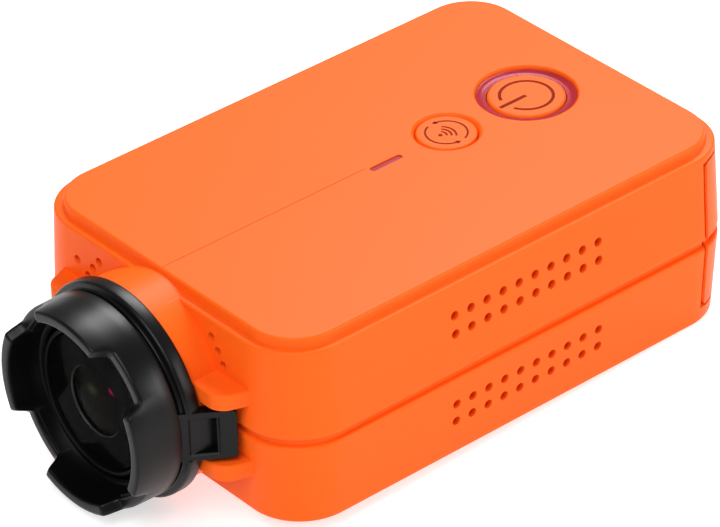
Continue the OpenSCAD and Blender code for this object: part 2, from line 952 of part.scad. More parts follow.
// Three contact blades that touch the battery
module battery_contacts() {
  blade_half = 0.6;
  blade_spacing = 3;
  color("gold")
    for (place = [-1, 0, 1]) {
      x = place * blade_spacing;
      block([x - blade_half, battery_front - contact_gap, battery_low + 2],
        [x + blade_half, battery_front, contact_top - 1.5]);
    }
}

// Power button with a flange under the light ring and a stem
module power_button() {
  color("darkorange") {
    upright(0, power_y, roof_z - 0.9, body_height, power_radius);
    upright(0, power_y, roof_z - 1.5, roof_z - 0.8, ring_outer - 0.4);
    upright(0, power_y, stem_z, roof_z - 1, 1.2);
  }
}

// Mode button with a flange under the top panel and a stem
module mode_button() {
  color("darkorange") {
    upright(0, mode_y, roof_z - 0.9, body_height - 0.1, mode_radius);
    upright(0, mode_y, roof_z - 1.0, roof_z - 0.3, mode_radius + 0.8);
    upright(0, mode_y, stem_z, roof_z - 0.9, 1.2);
  }
}

// Clear ring round the power button
module light_ring() {
  color("purple")
    difference() {
      union() {
        upright(0, power_y, roof_z - 0.6, body_height - 0.4, ring_outer);
        upright(0, power_y, roof_z - 0.6, roof_z, ring_outer + 0.7);
      }
      upright(0, power_y, roof_z - 2, body_height + 1, power_radius + button_fit);
    }
}

// Clear bar over the status lamp
module status_window() {
  color("purple") {
    block([-window_width / 2, window_front, roof_z - 0.6],
      [window_width / 2, window_front + window_length, body_height - 0.05]);
    block([-window_width / 2 - 0.5, window_front - 0.5, roof_z - 0.6],
      [window_width / 2 + 0.5, window_front + window_length + 0.5, roof_z]);
  }
}

top_shell();
bottom_shell();
rear_door();
hinge_pin();
case_screws();
lens_hood();
lens_barrel();
lens_bezel();
front_element();
middle_element();
rear_element();
lens_spacer();
lock_ring();
lens_mount();
mount_screws();
ir_filter();
image_sensor();
sensor_board();
sensor_flex();
flex_connector();
main_board();
processor();
memory_chip();
radio_shield();
antenna();
thermal_pad();
heat_spreader();
power_inductors();
usb_socket();
card_socket();
memory_card();
switch_bodies();
power_plunger();
mode_plunger();
indicator_leds();
microphone();
microphone_boot();
microphone_leads();
board_screws();
mid_frame();
battery();
battery_pull();
contact_block();
battery_contacts();
power_button();
mode_button();
light_ring();
status_window();
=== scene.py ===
# %% [markdown]
# # A pocket action camera in Blender
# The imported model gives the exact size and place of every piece. This lesson puts a moulded case, a
# notched lens hood, a coated lens, clear lamps and printed buttons around it, each modelled with
# Blender's own tools. Lengths are written in millimetres, as on a drawing, and MM turns them into
# Blender's metres.

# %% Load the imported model
import json
import math
import bpy
from mathutils import Matrix, Vector


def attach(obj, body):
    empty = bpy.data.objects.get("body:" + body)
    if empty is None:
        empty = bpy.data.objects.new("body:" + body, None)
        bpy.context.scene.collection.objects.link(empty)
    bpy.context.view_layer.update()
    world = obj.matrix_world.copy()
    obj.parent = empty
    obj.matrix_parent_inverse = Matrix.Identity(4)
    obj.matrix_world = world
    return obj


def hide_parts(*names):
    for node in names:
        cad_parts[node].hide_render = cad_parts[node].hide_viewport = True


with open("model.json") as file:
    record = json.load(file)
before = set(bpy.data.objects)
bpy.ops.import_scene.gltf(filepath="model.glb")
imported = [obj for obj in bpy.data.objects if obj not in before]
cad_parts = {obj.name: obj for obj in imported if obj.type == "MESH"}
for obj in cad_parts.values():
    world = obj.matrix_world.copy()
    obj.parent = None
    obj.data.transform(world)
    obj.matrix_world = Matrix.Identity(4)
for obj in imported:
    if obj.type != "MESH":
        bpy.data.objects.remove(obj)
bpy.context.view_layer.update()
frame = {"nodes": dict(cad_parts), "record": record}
MM = 0.001

# %% [markdown]
# ## Camera
# The picture was taken with a long lens from above the front right corner. A camera could be aimed at the
# middle of the object and moved until it looks right. Here the angles and the distance come from matching
# the straight case edges, the corner arcs and the button circles, so that the perspective fits as well as
# the place does.

# %% Camera
azimuth, elevation, roll = (math.radians(angle) for angle in (50.215, 33.816, -1.657))
back = Vector((math.sin(azimuth) * math.cos(elevation), -math.cos(azimuth) * math.cos(elevation),
               math.sin(elevation)))
level_right = Vector((math.cos(azimuth), math.sin(azimuth), 0))
level_up = back.cross(level_right)
right = math.cos(roll) * level_right + math.sin(roll) * level_up
up = math.cos(roll) * level_up - math.sin(roll) * level_right
AIM = Vector((0, 0, 10.5))
SHIFT_RIGHT, SHIFT_UP, DISTANCE = -2.674, -2.077, 438.044
eye = (AIM + SHIFT_RIGHT * right + SHIFT_UP * up + DISTANCE * back) * MM
bpy.ops.object.select_all(action="DESELECT")
bpy.ops.object.camera_add()
camera = bpy.context.object
camera.matrix_world = Matrix.Translation(eye) @ Matrix((right, up, back)).transposed().to_4x4()
camera.data.sensor_fit = "HORIZONTAL"
camera.data.sensor_width = 36
camera.data.lens = 234.06
bpy.context.scene.camera = camera
print("camera at", [round(c, 4) for c in eye])

# %% [markdown]
# ## Picking in code
# By hand, a face is clicked and an operator acts on it. A script has no mouse, and an operator acts on
# all that is selected, so everything is deselected first, and faces are then picked by a test on their
# centre and normal. A new primitive gets its name and has its place and scale applied at once, so that
# each piece stays at the origin.

# %% Helpers for new pieces and picked faces
def clear_selection():
    if bpy.context.object and bpy.context.object.mode != "OBJECT":
        bpy.ops.object.mode_set(mode="OBJECT")
    bpy.ops.object.select_all(action="DESELECT")


def start_piece(name):
    piece = bpy.context.object
    piece.name = name
    piece.data.name = name
    bpy.ops.object.transform_apply(location=True, rotation=True, scale=True)
    return piece


def unpick(*groups):
    for group in groups:
        group.foreach_set("select", [False] * len(group))


def pick_faces(piece, test):
    bpy.ops.object.mode_set(mode="OBJECT")
    bpy.context.tool_settings.mesh_select_mode = (False, False, True)
    unpick(piece.data.vertices, piece.data.edges)
    for face in piece.data.polygons:
        face.select = test(face.center / MM, face.normal)
    bpy.ops.object.mode_set(mode="EDIT")


def face_outwards():
    bpy.ops.mesh.select_all(action="SELECT")
    bpy.ops.mesh.normals_make_consistent(inside=False)


clear_selection()
print("left selected", len(bpy.context.selected_objects))

# %% [markdown]
# ## Moulded half of the case
# Each half of the case is one moulding: a rounded plan, a wall that leans in so that it leaves the mould,
# a narrow ledge and a raised panel. A plane with rounded corners is grown by inset steps, each a little
# in and a little up, which keeps the corner arcs true. Scaling the outline instead would squeeze the
# corners.

# %% Rounded outline grown by inset steps
def quarter_round(radius, steps=5):
    angles = [step * math.pi / 2 / steps for step in range(steps + 1)]
    return [(radius * (math.cos(a) - math.cos(b)), radius * (math.sin(b) - math.sin(a)))
            for a, b in zip(angles, angles[1:])]


def rounded_plan(name, half_x, half_y, corner, low, high, segments=22):
    clear_selection()
    bpy.ops.mesh.primitive_plane_add(size=2, location=(0, 0, low * MM))
    bpy.context.object.scale = (half_x * MM, half_y * MM, 1)
    plan = start_piece(name)
    bpy.ops.object.mode_set(mode="EDIT")
    bpy.ops.mesh.select_all(action="SELECT")
    bpy.ops.mesh.bevel(offset=corner * MM, segments=segments, profile=0.5, affect="VERTICES")
    bpy.ops.mesh.select_all(action="SELECT")
    bpy.ops.mesh.extrude_region_move(TRANSFORM_OT_translate={"value": (0, 0, (high - low) * MM)})
    face_outwards()
    bpy.ops.object.mode_set(mode="OBJECT")
    return plan


def grow(plan, direction, steps):
    end = max(direction * face.center.z for face in plan.data.polygons) / MM

    def end_face(centre, normal):
        return direction * normal.z > 0.99 and direction * centre.z > end - 0.001

    pick_faces(plan, end_face)
    for inset, rise in steps:
        if inset < 1e-6:
            bpy.ops.mesh.extrude_region_move(
                TRANSFORM_OT_translate={"value": (0, 0, direction * rise * MM)})
        else:
            bpy.ops.mesh.inset(thickness=inset * MM, depth=rise * MM)
    bpy.ops.object.mode_set(mode="OBJECT")


print("a quarter round of 0.25 mm takes", len(quarter_round(0.25)), "inset steps")

# %% [markdown]
# ## Two halves on one plan
# The halves meet at a fine groove, the seam, where each has a softened lip and a narrow neck behind it.
# The upper half goes on into the ledge and the raised panel, the lower half into a rounded base. Both
# forms are functions, because the rear door is later cut from the same two, so that its outside runs on
# in one line with the case.

# %% Upper and lower form
HALF_X, HALF_Y, CORNER = 19.0, 28.0, 6.2
lip = quarter_round(0.25, 4) + [(0.25, 0.0), (0.0, 0.4)]


def upper_form(name):
    form = rounded_plan(name, HALF_X, HALF_Y, CORNER, 9.65, 9.75)
    wall = [(0.42, 8.5)]
    ledge = quarter_round(0.25) + [(0.57, 0.0)]
    riser = [(0.06, 0.1), (0.06, 0.61)]
    grow(form, 1, wall + ledge + riser + quarter_round(0.29))
    grow(form, -1, lip)
    return form


def lower_form(name, neck=0.4):
    form = rounded_plan(name, HALF_X, HALF_Y, CORNER, 8.25, 8.35)
    grow(form, -1, [(0.5, 7.85)] + quarter_round(0.4, 6))
    grow(form, 1, lip[:-1] + [(0.0, neck)])
    return form


case_upper = upper_form("case_upper")
case_lower = lower_form("case_lower")
print("upper form", len(case_upper.data.polygons), "lower form", len(case_lower.data.polygons))

# %% [markdown]
# ## Collar
# A round collar in front of the case carries the lens hood. It is a turned form: a circle is extruded
# ring by ring, and each ring is resized to the next radius of the profile. The spin tool could turn a
# drawn outline as well, but this way each number of the profile is a radius or a height that can be
# measured.

# %% Turned shapes
def turned(name, profile, segments, centre, axis, closed=True):
    along = Vector((0, 1, 0)) if axis == "Y" else Vector((0, 0, 1))
    across = (1, 0, 1) if axis == "Y" else (1, 1, 0)
    centre = Vector(centre)
    radius, height = profile[0]
    tilt = math.pi / 2 if axis == "Y" else 0
    clear_selection()
    bpy.ops.mesh.primitive_circle_add(vertices=segments, radius=radius * MM, rotation=(tilt, 0, 0),
                                      location=(centre + along * height) * MM)
    piece = start_piece(name)
    bpy.ops.object.mode_set(mode="EDIT")
    bpy.ops.mesh.select_all(action="SELECT")
    for next_radius, next_height in profile[1:] + (profile[:1] if closed else []):
        bpy.ops.mesh.extrude_edges_move(
            TRANSFORM_OT_translate={"value": along * (next_height - height) * MM})
        factor = next_radius / radius
        bpy.ops.transform.resize(value=[factor if turn else 1 for turn in across],
                                 center_override=(centre + along * next_height) * MM)
        radius, height = next_radius, next_height
    bpy.ops.mesh.select_all(action="SELECT")
    bpy.ops.mesh.remove_doubles(threshold=1e-7)
    if not closed:
        bpy.ops.mesh.select_mode(type="EDGE")
        bpy.ops.mesh.select_all(action="DESELECT")
        bpy.ops.mesh.select_non_manifold()
        bpy.ops.mesh.fill_holes(sides=0)
    face_outwards()
    bpy.ops.object.mode_set(mode="OBJECT")
    return piece


SEAM_Z = 9.0
LENS_AXIS = (0, 0, SEAM_Z)
turns = [step * math.pi / 8 for step in range(5)]
rounded_front = [(9.85 + 0.2 * math.cos(turn), -30.62 - 0.2 * math.sin(turn)) for turn in turns]
collar_profile = [(8.0, -30.82), (8.0, -26.0), (10.05, -26.0)] + rounded_front
print("collar profile", len(collar_profile), "rings")

# %% [markdown]
# ## Ears
# Flat ears beside the collar keep the hood from turning. The outer side of an ear flares towards the
# case, and its front corner has a large round. It starts as a box: one edge is picked by its middle and
# its direction and pulled outwards, one gets a wide bevel, and a bevel modifier softens the rest. A drawn
# outline would do too, but a box with moved edges keeps its sizes in plain sight.

# %% Boxes with bevelled edges
def box(name, low, high):
    clear_selection()
    middle = (Vector(low) + Vector(high)) / 2 * MM
    bpy.ops.mesh.primitive_cube_add(size=1, location=middle)
    bpy.context.object.scale = (Vector(high) - Vector(low)) * MM
    return start_piece(name)


def pick_edges(piece, test):
    bpy.ops.object.mode_set(mode="OBJECT")
    bpy.context.tool_settings.mesh_select_mode = (False, True, False)
    points = piece.data.vertices
    unpick(points, piece.data.polygons)
    for edge in piece.data.edges:
        first, second = (points[i].co / MM for i in edge.vertices)
        edge.select = test((first + second) / 2, second - first)
    bpy.ops.object.mode_set(mode="EDIT")


def make_active(piece):
    clear_selection()
    piece.select_set(True)
    bpy.context.view_layer.objects.active = piece


def round_edges(piece, width, segments=3, angle=40):
    make_active(piece)
    step = piece.modifiers.new("rounded edges", "BEVEL")
    step.width = width * MM
    step.segments = segments
    step.limit_method = "ANGLE"
    step.angle_limit = math.radians(angle)
    bpy.ops.object.modifier_apply(modifier=step.name)
    return piece


EAR_HEIGHTS = {"upper": (12.0, 13.7), "lower": (4.3, 6.0)}
EAR_INNER, EAR_OUTER, EAR_FRONT, EAR_BACK = 8.6, 12.3, -30.73, -26.6
EAR_FLARE, EAR_CORNER = 1.6, 1.25


def ear(half, side):
    low, high = EAR_HEIGHTS[half]
    inner, outer = sorted((side * EAR_INNER, side * EAR_OUTER))
    plate = box("ear", (inner, EAR_FRONT, low), (outer, EAR_BACK, high))

    def outer_edge(middle, way):
        return abs(way.z) > 1 and side * middle.x > EAR_OUTER - 0.1

    pick_edges(plate, lambda middle, way: outer_edge(middle, way) and middle.y > EAR_BACK - 0.1)
    bpy.ops.transform.translate(value=(side * EAR_FLARE * MM, 0, 0))
    pick_edges(plate, lambda middle, way: outer_edge(middle, way) and middle.y < EAR_FRONT + 0.1)
    bpy.ops.mesh.bevel(offset=EAR_CORNER * MM, segments=14, profile=0.5)
    bpy.ops.object.mode_set(mode="OBJECT")
    return round_edges(plate, 0.22, 3, 60)


print("ears between the heights", EAR_HEIGHTS)

# %% [markdown]
# ## Joining with booleans
# Collar and ears are one moulding with the case, so they are united with it by a boolean modifier that is
# applied at once. The exact solver keeps every edge, where a remesh would melt it, as long as no two
# faces lie in one plane. The collar is cut at the seam first, so that each half gets its own part of it.

# %% Collar and ears on both halves
def combine(piece, other, operation):
    make_active(piece)
    step = piece.modifiers.new(operation.lower(), "BOOLEAN")
    step.operation = operation
    step.solver = "EXACT"
    step.object = other
    bpy.ops.object.modifier_apply(modifier=step.name)
    bpy.data.objects.remove(other)
    return piece


def half_space(name, half):
    low, high = (SEAM_Z, 40) if half == "lower" else (-20, SEAM_Z)
    return box(name, (-60, -60, low), (60, 60, high))


for half, shell in (("upper", case_upper), ("lower", case_lower)):
    collar = turned("collar", collar_profile, 160, LENS_AXIS, "Y")
    combine(shell, combine(collar, half_space("other half", half), "DIFFERENCE"), "UNION")
    for side in (-1, 1):
        combine(shell, ear(half, side), "UNION")
    print(shell.name, "with collar and ears", len(shell.data.polygons), "faces")

# %% [markdown]
# ## Openings of the case
# The inside is hollow, with four round posts for the screws left standing. The collar has a bore for the
# sleeve of the hood, and the back leaves room for a door. Each opening is a simple form that is taken
# away. A thin rod along each edge of the door gap softens it, as the radius of a mould does. A bevel
# would need that edge found again after the cut.

# %% Hollow, bore and door space
DOOR_FRONT, DOOR_LOW, DOOR_HIGH = 23.25, 1.75, 17.65


def door_block(name, gap):
    block = box(name, (-40, DOOR_FRONT - gap, DOOR_LOW - gap), (40, 40, DOOR_HIGH + gap))
    pick_edges(block, lambda middle, way: abs(way.x) > 1 and middle.y < 24)
    bpy.ops.mesh.bevel(offset=(0.5 + gap) * MM, segments=8, profile=0.5)
    bpy.ops.object.mode_set(mode="OBJECT")
    return block


def rod(name, start, end, radius, vertices=48):
    start, end = Vector(start), Vector(end)
    clear_selection()
    way = end - start
    bpy.ops.mesh.primitive_cylinder_add(vertices=vertices, radius=radius * MM, depth=way.length * MM,
                                        location=(start + end) / 2 * MM,
                                        rotation=way.to_track_quat("Z", "Y").to_euler())
    return start_piece(name)


GAP_Y, GAP_SOFTNESS = 23.1, 0.3
GAP_EDGES = (((18.95, 9.4), (18.5, 17.8)), ((18.95, 8.6), (18.45, 1.6)))


def soften_door_gap(piece):
    for side in (-1, 1):
        for edge in GAP_EDGES:
            ends = [(side * x, GAP_Y, z) for x, z in edge]
            combine(piece, rod("groove", *ends, GAP_SOFTNESS, 24), "DIFFERENCE")


BOSSES = [(x, y) for x in (-15.3, 15.3) for y in (-21.0, 19.5)]
for shell, low, high in ((case_upper, SEAM_Z, 18.2), (case_lower, 1.0, SEAM_Z)):
    hollow = rounded_plan("cavity", 17, 26, 4.2, 1.4, 17.9, 10)
    for x, y in BOSSES:
        combine(hollow, rod("boss", (x, y, low), (x, y, high), 1.8), "DIFFERENCE")
    combine(shell, hollow, "DIFFERENCE")
    combine(shell, rod("bore", (0, -40, SEAM_Z), (0, -25.6, SEAM_Z), 8.8, 157), "DIFFERENCE")
    combine(shell, door_block("door space", 0.3), "DIFFERENCE")
    soften_door_gap(shell)
    print(shell.name, "hollowed", len(shell.data.polygons), "faces")

# %% [markdown]
# ## Vents, front holes and screw wells
# Small holes let heat and sound through the wall: two rows of ten in each half of the side, three on each
# side of the collar and one for the microphone. Four wells in the base take the screws. One long pin,
# repeated by two array modifiers, drills a whole field on both sides at once. Single cuts would give the
# same holes, but take twenty times as long.

# %% Vents, front holes and screw wells
VENT_PITCH, VENT_RADIUS, FIRST_VENT_Y = 1.95, 0.475, -8.275


def vents(low_row):
    pins = rod("vents", (-24, FIRST_VENT_Y, low_row), (24, FIRST_VENT_Y, low_row), VENT_RADIUS, 20)
    for way, count in (((0, VENT_PITCH, 0), 10), ((0, 0, VENT_PITCH), 2)):
        row = pins.modifiers.new("row", "ARRAY")
        row.use_relative_offset = False
        row.use_constant_offset = True
        row.constant_offset_displace = Vector(way) * MM
        row.count = count
        bpy.ops.object.modifier_apply(modifier=row.name)
    return pins


FRONT_HOLE_CIRCLE, SMALL_HOLE = 11.18, 0.45
combine(case_upper, vents(13.4), "DIFFERENCE")
combine(case_lower, vents(3.75), "DIFFERENCE")
for side in (-1, 1):
    for angle in (29.5, 36.5, 43.7):
        x = side * FRONT_HOLE_CIRCLE * math.cos(math.radians(angle))
        z = SEAM_Z + FRONT_HOLE_CIRCLE * math.sin(math.radians(angle))
        combine(case_upper, rod("front hole", (x, -31, z), (x, -25, z), SMALL_HOLE, 20), "DIFFERENCE")
microphone = rod("microphone hole", (-11.3, -31, 15.5), (-11.3, -25, 15.5), SMALL_HOLE, 20)
combine(case_upper, microphone, "DIFFERENCE")
for x, y in BOSSES:
    combine(case_lower, rod("screw well", (x, y, -2), (x, y, 1.3), 1.35), "DIFFERENCE")
print("drilled", len(case_upper.data.polygons), "and", len(case_lower.data.polygons), "faces")

# %% [markdown]
# ## Openings in the top
# The panel has a round hole with a softened edge for the large button, a shallow dish round the small
# one, a slot for a lamp window and a hairline groove. The two round cutters are turned from a profile, so
# that hole and softened edge are cut in one go. A bevel after the boolean would have to find its edge
# among many.

# %% Button holes, lamp slot and hairline
POWER, MODE = (0, 17.5, 0), (0, 7.4, 0)
LAMP_X = 0.3
rounded_edge = [(4.85, 15), (4.85, 19.2), (4.87, 19.32), (4.93, 19.42), (5.02, 19.48), (5.12, 19.51),
                (5.12, 20.5)]
shallow_dish = [(3.0, 15), (3.0, 18.96), (3.05, 19.12), (3.11, 19.26), (3.2, 19.38), (3.32, 19.46),
                (3.5, 19.51), (3.5, 20.5)]


def long_bar(name, half_width, low_y, high_y, low, high):
    bar = box(name, (LAMP_X - half_width, low_y, low), (LAMP_X + half_width, high_y, high))
    pick_edges(bar, lambda middle, way: abs(way.z) > 0.3)
    bpy.ops.mesh.bevel(offset=half_width * 0.9 * MM, segments=6, profile=0.5)
    bpy.ops.object.mode_set(mode="OBJECT")
    return bar


combine(case_upper, turned("power hole", rounded_edge, 96, POWER, "Z", closed=False), "DIFFERENCE")
combine(case_upper, turned("mode hole", shallow_dish, 96, MODE, "Z", closed=False), "DIFFERENCE")
combine(case_upper, long_bar("slot", 0.37, -2.2, 1.6, 16, 21), "DIFFERENCE")
combine(case_upper, box("hairline", (-0.31, -30, 19.46), (-0.22, -2.5, 21)), "DIFFERENCE")
print("case_upper", len(case_upper.data.polygons), "case_lower", len(case_lower.data.polygons), "faces")

# %% [markdown]
# ## Hinge lugs
# The back of the case is a cap that swings down on a pin along its lower edge, and two lugs on the lower
# half hold that pin. Each lug is a rod on a small box, joined before it goes to the case, so that the
# case needs one union for each. Then both halves are done: their shading is smoothed up to a limit angle,
# and they take over from their CAD nodes.

# %% Hinge lugs on the lower half
def soften_shading(piece, angle=32):
    make_active(piece)
    bpy.ops.object.shade_smooth_by_angle(angle=math.radians(angle))
    step = piece.modifiers.new("flat faces lead", "WEIGHTED_NORMAL")
    step.keep_sharp = True
    bpy.ops.object.modifier_apply(modifier=step.name)
    return piece


def place(piece, body, slot, *nodes):
    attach(piece, body)
    if nodes:
        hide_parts(*nodes)
    spots = [vertex.co / MM for vertex in piece.data.vertices]
    low, high = ([round(end(spot[i] for spot in spots), 2) for i in range(3)] for end in (min, max))
    print(piece.name, len(piece.data.polygons), "faces from", low, "to", high)


HINGE_Y, HINGE_Z = 26.3, 3.05
for side in (-1, 1):
    inner, outer = sorted((side * 10.0, side * 11.7))
    lug = rod("lug", (inner, HINGE_Y, HINGE_Z), (outer, HINGE_Y, HINGE_Z), 1.2)
    combine(lug, box("lug foot", (inner, HINGE_Y - 1.2, 0.8), (outer, HINGE_Y + 1.2, HINGE_Z)), "UNION")
    combine(case_lower, lug, "UNION")
soften_shading(case_upper)
soften_shading(case_lower)
place(case_upper, "camera", "case_orange", "top_shell")
place(case_lower, "camera", "case_orange", "bottom_shell")

# %% [markdown]
# ## Rear door
# The door has the same outer form as the case, so both halves are grown once more, and a plain core joins
# them across the seam. The result is cut to the door's outline, hollowed, and given a hinge barrel, room
# for the lugs and a groove for a finger nail. A door modelled on its own would hardly run on so exactly
# in the lines of the case.

# %% Rear door
rear_cap = upper_form("rear_cap")
core = rounded_plan("core", HALF_X - 0.7, HALF_Y - 0.7, CORNER - 0.7, 5, 13, 16)
combine(rear_cap, core, "UNION")
combine(rear_cap, lower_form("lower part", 0.38), "UNION")
combine(rear_cap, door_block("door outline", 0), "INTERSECT")
soften_door_gap(rear_cap)
inside = rounded_plan("inside", 17.4, 26.4, 4.6, -1, 21, 10)
combine(rear_cap, inside, "DIFFERENCE")
heel = box("heel", (-40, HINGE_Y, -2), (40, 34, HINGE_Z))
combine(heel, rod("heel round", (-42, HINGE_Y, HINGE_Z), (42, HINGE_Y, HINGE_Z), 1.3, 64), "DIFFERENCE")
combine(rear_cap, heel, "DIFFERENCE")
combine(rear_cap, rod("barrel", (-9.95, HINGE_Y, HINGE_Z), (9.95, HINGE_Y, HINGE_Z), 1.25, 64), "UNION")
for side in (-1, 1):
    inner, outer = sorted((side * 9.7, side * 12.0))
    combine(rear_cap, box("lug room", (inner, 24.3, 0), (outer, 30, 4.65)), "DIFFERENCE")
combine(rear_cap, rod("nail groove", (-5, 28.35, 16.05), (5, 28.35, 16.05), 1.3, 64), "DIFFERENCE")
soften_shading(rear_cap)
place(rear_cap, "door", "case_orange", "rear_door")

# %% [markdown]
# ## Lens hood
# The hood is a black moulded tube with a rounded flange, a fine groove and four shallow notches in its
# rim. It is turned first. The rings of the rim are then pushed back column by column to form the notches,
# which keeps their edges as round as the rest of the rim. Cutting them with a wedge would leave knife
# edges.

# %% Turned hood with a notched rim
flange = [(8.75, -27.6), (8.75, -30.95), (10.4, -30.95), (10.52, -30.98), (10.6, -31.06), (10.63, -31.18),
          (10.63, -32.1), (10.61, -32.25), (10.55, -32.37), (10.44, -32.45), (10.3, -32.48), (10.12, -32.5)]
groove = [(10.05, -32.55), (10.05, -32.7), (10.0, -32.76), (9.76, -32.78), (9.72, -32.82), (9.72, -32.93),
          (9.77, -32.98), (9.94, -33.0), (10.03, -33.05), (10.07, -33.15)]
tube = [(10.05, -34.4), (10.02, -36.0), (10.0, -37.78)]
rounded_rim = [(9.97, -37.9), (9.89, -37.99), (9.77, -38.04), (9.65, -38.05), (9.2, -38.05), (9.07, -38.03),
               (8.97, -37.97), (8.9, -37.87), (8.87, -37.75)]
mouth = [(8.65, -36.0), (8.38, -34.9), (8.3, -34.76), (8.15, -34.7), (7.8, -34.7), (7.8, -33.0),
         (7.95, -32.9), (7.95, -27.6)]
COLUMNS = 432
hood = turned("hood", flange + groove + tube + rounded_rim + mouth, COLUMNS, LENS_AXIS, "Y")
NOTCH_DEPTH, NOTCH_HALF, NOTCH_RAMP = 1.7, 20.6, 6.6


def notch_push(offset):
    ramp = min(max((NOTCH_HALF - offset) / NOTCH_RAMP, 0.0), 1.0)
    return round(NOTCH_DEPTH * ramp * ramp * (3 - 2 * ramp), 4)


def from_notch(point):
    angle = math.degrees(math.atan2(point.z / MM - SEAM_Z, point.x / MM)) % 90
    return round(abs(angle - 45), 2)


bpy.context.tool_settings.mesh_select_mode = (True, False, False)
rim = [vertex.index for vertex in hood.data.vertices if vertex.co.y / MM < -37.5]
pushes = {index: notch_push(from_notch(hood.data.vertices[index].co)) for index in rim}
for push in sorted(set(pushes.values()) - {0.0}):
    unpick(hood.data.vertices, hood.data.edges, hood.data.polygons)
    for index in rim:
        hood.data.vertices[index].select = pushes[index] == push
    bpy.ops.object.mode_set(mode="EDIT")
    bpy.ops.transform.translate(value=(0, push * MM, 0))
    bpy.ops.object.mode_set(mode="OBJECT")
print("notch steps", len(set(pushes.values())) - 1)

# %% [markdown]
# ## Side tabs of the hood
# A tab on each side of the hood reaches back over the collar, between the ears. Its plate has a window
# with a ramp in it, where a snap hook would sit, and the window has a chamfered rim. The tab is modelled
# flat at the origin, where its numbers are simple, and then turned and moved beside the collar. The other
# side is a mirrored copy, and mirroring turns a mesh inside out, so its faces are pointed outwards again.

# %% Side tabs with a ramped window
def snap_ramp():
    ramp = box("ramp", (0.1, -0.4, -1.85), (2.62, 0.95, 1.9))
    pick_edges(ramp, lambda middle, way: abs(way.z) > 1 and middle.x < 0.2 and middle.y > 0.5)
    bpy.ops.transform.translate(value=(0, -0.9 * MM, 0))
    pick_edges(ramp, lambda middle, way: abs(way.z) > 1 and middle.x > 2.5 and middle.y > 0.5)
    bpy.ops.transform.translate(value=(-0.3 * MM, 0, 0))
    bpy.ops.object.mode_set(mode="OBJECT")
    window_rim = box("window rim", (-0.46, -0.41, -2.41), (3.18, 0.15, 2.46))
    pick_faces(window_rim, lambda centre, normal: normal.y > 0.9)
    bpy.ops.transform.resize(value=(0.69, 1, 0.77), center_override=Vector((1.36, 0.15, 0.025)) * MM)
    bpy.ops.object.mode_set(mode="OBJECT")
    return combine(ramp, window_rim, "UNION")


def tab_plate():
    plate = box("tab", (-0.95, 0, -2.5), (4.3, 1.2, 2.65))
    pick_edges(plate, lambda middle, way: abs(way.z) > 1 and middle.x > 4 and middle.y > 1)
    bpy.ops.mesh.bevel(offset=0.6 * MM, segments=1)
    pick_edges(plate, lambda middle, way: abs(way.z) < 0.01 and middle.x > 3.9)
    bpy.ops.mesh.bevel(offset=0.45 * MM, segments=5, profile=0.5)
    bpy.ops.object.mode_set(mode="OBJECT")
    return round_edges(plate, 0.12, 3, 50)


TAB_ANGLE, TAB_ROOT = 56, (10.2, -32.3, SEAM_Z)


def beside_collar(piece, side):
    make_active(piece)
    piece.rotation_euler = (0, 0, math.radians(TAB_ANGLE))
    piece.location = Vector(TAB_ROOT) * MM
    bpy.ops.object.transform_apply(location=True, rotation=True, scale=True)
    if side < 0:
        piece.scale = (-1, 1, 1)
        bpy.ops.object.transform_apply(location=False, rotation=False, scale=True)
        bpy.ops.object.mode_set(mode="EDIT")
        face_outwards()
        bpy.ops.object.mode_set(mode="OBJECT")
    return piece


for side in (-1, 1):
    combine(hood, beside_collar(box("flat", (-0.58, -3, -2.5), (5, 0.1, 2.65)), side), "DIFFERENCE")
    tab = beside_collar(tab_plate(), side)
    foot_low, foot_high = sorted((side * 9.0, side * 9.9))
    foot = box("foot", (foot_low, -32.4, 6.6), (foot_high, -31.0, 11.5))
    combine(tab, foot, "UNION")
    combine(tab, rod("collar room", (0, -30.95, SEAM_Z), (0, -26, SEAM_Z), 10.3, 160), "DIFFERENCE")
    combine(tab, rod("hood bore", (0, -40, SEAM_Z), (0, -26, SEAM_Z), 8.9, 96), "DIFFERENCE")
    combine(hood, tab, "UNION")
    combine(hood, beside_collar(snap_ramp(), side), "DIFFERENCE")
soften_shading(hood, 40)
place(hood, "hood", "hood_black", "lens_hood")

# %% [markdown]
# ## Lens
# Behind the hood sits a wide-angle lens: a flat clear front glass in a thin black ring, and behind it a
# polished black face that mirrors the notched rim. Its round opening has a chamfered edge, glossier and
# painted lighter as a painted highlight, and a slightly domed inner glass shows in it. All of them are
# turned parts, the dome a profile on a circle of 24 mm radius: a sphere cut down to it brings many thin faces
# at its pole.

# %% Barrel, ring and glasses
def dome(edge_radius, edge_y, curve, steps=14):
    middle = edge_y + math.sqrt(curve ** 2 - edge_radius ** 2)
    radii = [edge_radius * (1 - step / steps) for step in range(steps)] + [0.06]
    return [(radius, middle - math.sqrt(curve ** 2 - radius ** 2)) for radius in radii]


